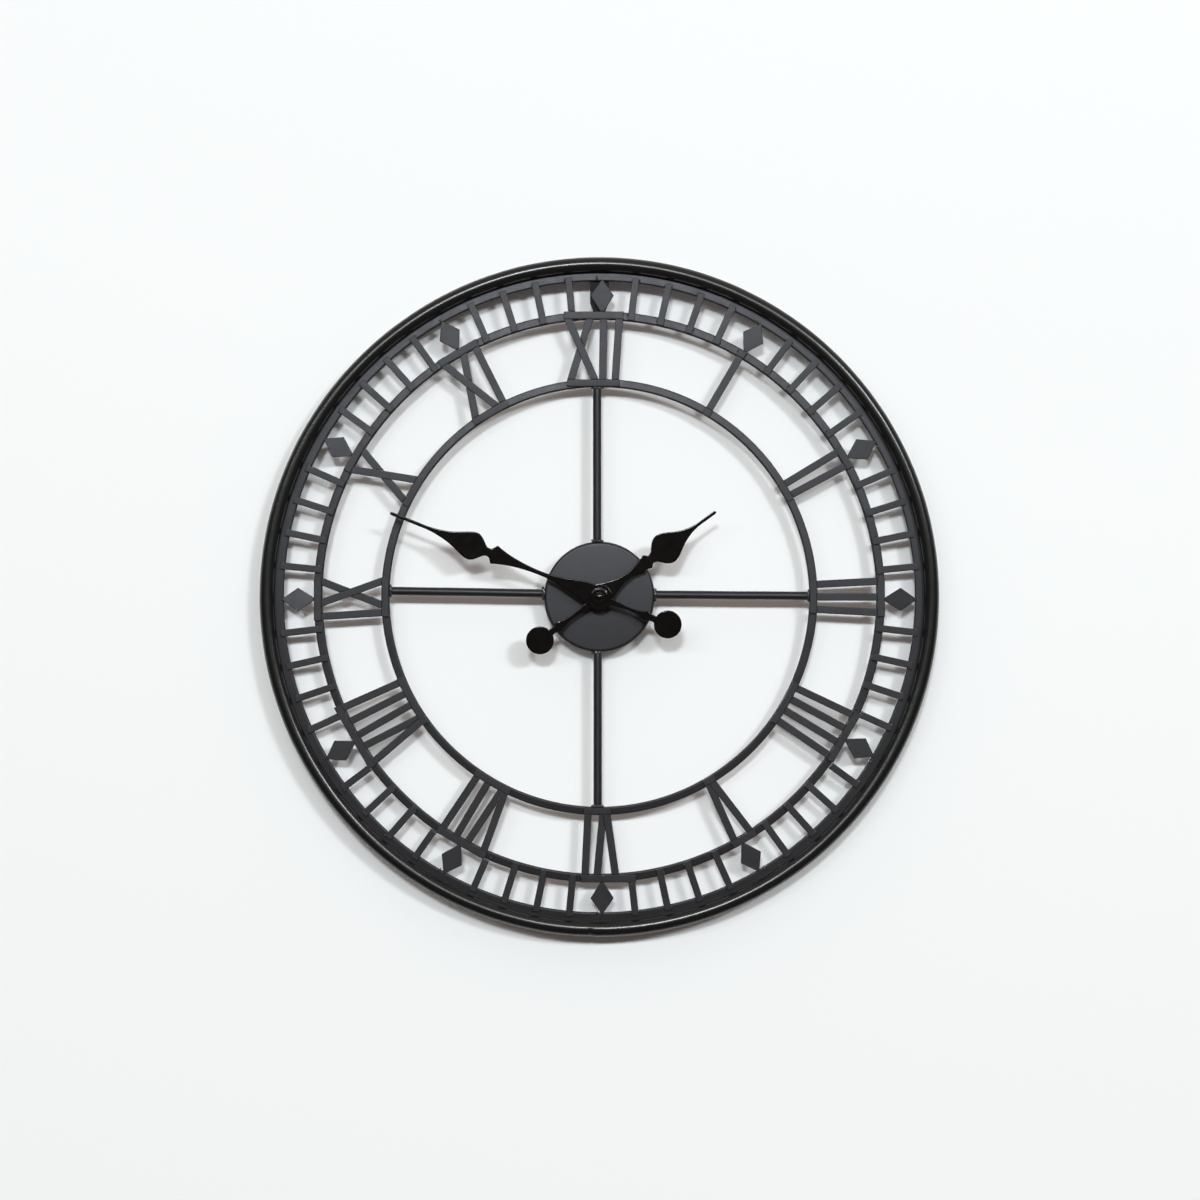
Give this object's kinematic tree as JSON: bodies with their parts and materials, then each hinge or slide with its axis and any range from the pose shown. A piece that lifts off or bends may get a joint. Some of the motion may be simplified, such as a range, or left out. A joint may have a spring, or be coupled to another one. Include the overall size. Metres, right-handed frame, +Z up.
{
  "type": "wall clock",
  "caption": "Round open-frame metal wall clock with welded Roman numeral dial, spade hands and a battery quartz movement behind a central disc.",
  "frame": {"origin": "centre of the dial on the wall plane, level with the back edge of the rim", "axes": "+X to the viewer's right, +Z up with the twelve at the top, +Y from the viewer into the wall, so the dial faces -Y"},
  "size_m": [0.5999, 0.0438, 0.6],
  "materials": {
    "rim_paint": "gloss black paint",
    "dial_paint": "satin charcoal paint",
    "hand_paint": "gloss black paint",
    "case_plastic": "fine grained black moulding",
    "knob_plastic": "knurled black moulding",
    "gear_plastic": "natural white moulding",
    "steel": "bright steel",
    "plated_steel": "nickel plated strip",
    "iron": "annealed soft iron",
    "brass": "turned brass",
    "rubber": "black rubber",
    "copper": "enamelled copper wire",
    "board": "green solder mask",
    "resin": "black resin",
    "magnet": "sintered magnet",
    "battery_sleeve": "printed sleeve without wording"
  },
  "bodies": {
    "frame": {"rim": "rim_paint", "outer_ring": "dial_paint", "minute_ring": "dial_paint", "numeral_ring": "dial_paint", "minute_bars": "dial_paint", "hour_lozenges": "dial_paint", "numeral_01": "dial_paint", "numeral_02": "dial_paint", "numeral_03": "dial_paint", "numeral_04": "dial_paint", "numeral_05": "dial_paint", "numeral_06": "dial_paint", "numeral_07": "dial_paint", "numeral_08": "dial_paint", "numeral_09": "dial_paint", "numeral_10": "dial_paint", "numeral_11": "dial_paint", "numeral_12": "dial_paint", "spokes": "dial_paint", "hub_disc": "dial_paint", "hanger_plate": "dial_paint", "movement_case": "case_plastic", "movement_cover": "case_plastic", "train_plate": "gear_plastic", "movement_screws": "steel", "threaded_bushing": "brass", "rubber_washer": "rubber", "brass_washer": "brass", "hex_nut": "brass", "stator": "iron", "coil_core": "iron", "coil_bobbin": "gear_plastic", "coil_winding": "copper", "circuit_board": "board", "chip_blob": "resin", "quartz_crystal": "steel", "contact_positive": "plated_steel", "contact_negative": "plated_steel"},
    "minute_hand_set": {"minute_hand": "hand_paint", "minute_arbor": "steel", "cap_nut": "hand_paint"},
    "hour_hand_set": {"hour_hand": "hand_paint", "hour_collet": "brass", "hour_wheel": "gear_plastic"},
    "idler": {"idler_wheel": "gear_plastic"},
    "knob": {"setting_knob": "knob_plastic"},
    "fourth": {"fourth_wheel": "gear_plastic"},
    "centre": {"centre_wheel": "gear_plastic"},
    "third": {"third_wheel": "gear_plastic"},
    "fifth": {"fifth_wheel": "gear_plastic"},
    "rotor": {"rotor_magnet": "magnet", "rotor_pinion": "gear_plastic"},
    "cell": {"battery": "battery_sleeve"}
  },
  "joints": [
    {"name": "minute_hand_turn", "type": "hinge", "parent": "frame", "child": "minute_hand_set", "pos_m": [0, -0.03, 0], "axis": [0, 1, 0], "continuous": true},
    {"name": "hour_hand_turn", "type": "hinge", "parent": "frame", "child": "hour_hand_set", "pos_m": [0, -0.028, 0], "axis": [0, 1, 0], "continuous": true},
    {"name": "idler_turn", "type": "hinge", "parent": "frame", "child": "idler", "pos_m": [0.012, -0.018, 0], "axis": [0, 1, 0], "continuous": true},
    {"name": "setting_knob_turn", "type": "hinge", "parent": "frame", "child": "knob", "pos_m": [0.02239, -0.004, 0.006], "axis": [0, 1, 0], "continuous": true},
    {"name": "fourth_wheel_turn", "type": "hinge", "parent": "frame", "child": "fourth", "pos_m": [0, -0.01, 0], "axis": [0, 1, 0], "continuous": true},
    {"name": "centre_wheel_turn", "type": "hinge", "parent": "frame", "child": "centre", "pos_m": [0, -0.0133, 0], "axis": [0, 1, 0], "continuous": true},
    {"name": "third_wheel_turn", "type": "hinge", "parent": "frame", "child": "third", "pos_m": [-0.00866, -0.0115, 0.005], "axis": [0, 1, 0], "continuous": true},
    {"name": "fifth_wheel_turn", "type": "hinge", "parent": "frame", "child": "fifth", "pos_m": [0.0051, -0.0087, 0.00883], "axis": [0, 1, 0], "continuous": true},
    {"name": "rotor_turn", "type": "hinge", "parent": "frame", "child": "rotor", "pos_m": [0.01254, -0.01, 0.01083], "axis": [0, 1, 0], "continuous": true},
    {"name": "battery_slide", "type": "slide", "parent": "frame", "child": "cell", "axis": [0, 1, 0], "range_m": [0, 0.03]}
  ],
  "couplings": [
    {"joint": "hour_hand_turn", "follows": "minute_hand_turn", "ratio": 0.083333},
    {"joint": "idler_turn", "follows": "minute_hand_turn", "ratio": -0.33333},
    {"joint": "setting_knob_turn", "follows": "minute_hand_turn", "ratio": 1},
    {"joint": "third_wheel_turn", "follows": "fourth_wheel_turn", "ratio": -0.13333},
    {"joint": "centre_wheel_turn", "follows": "fourth_wheel_turn", "ratio": 0.016667},
    {"joint": "fifth_wheel_turn", "follows": "fourth_wheel_turn", "ratio": -5},
    {"joint": "rotor_turn", "follows": "fourth_wheel_turn", "ratio": 30}
  ]
}
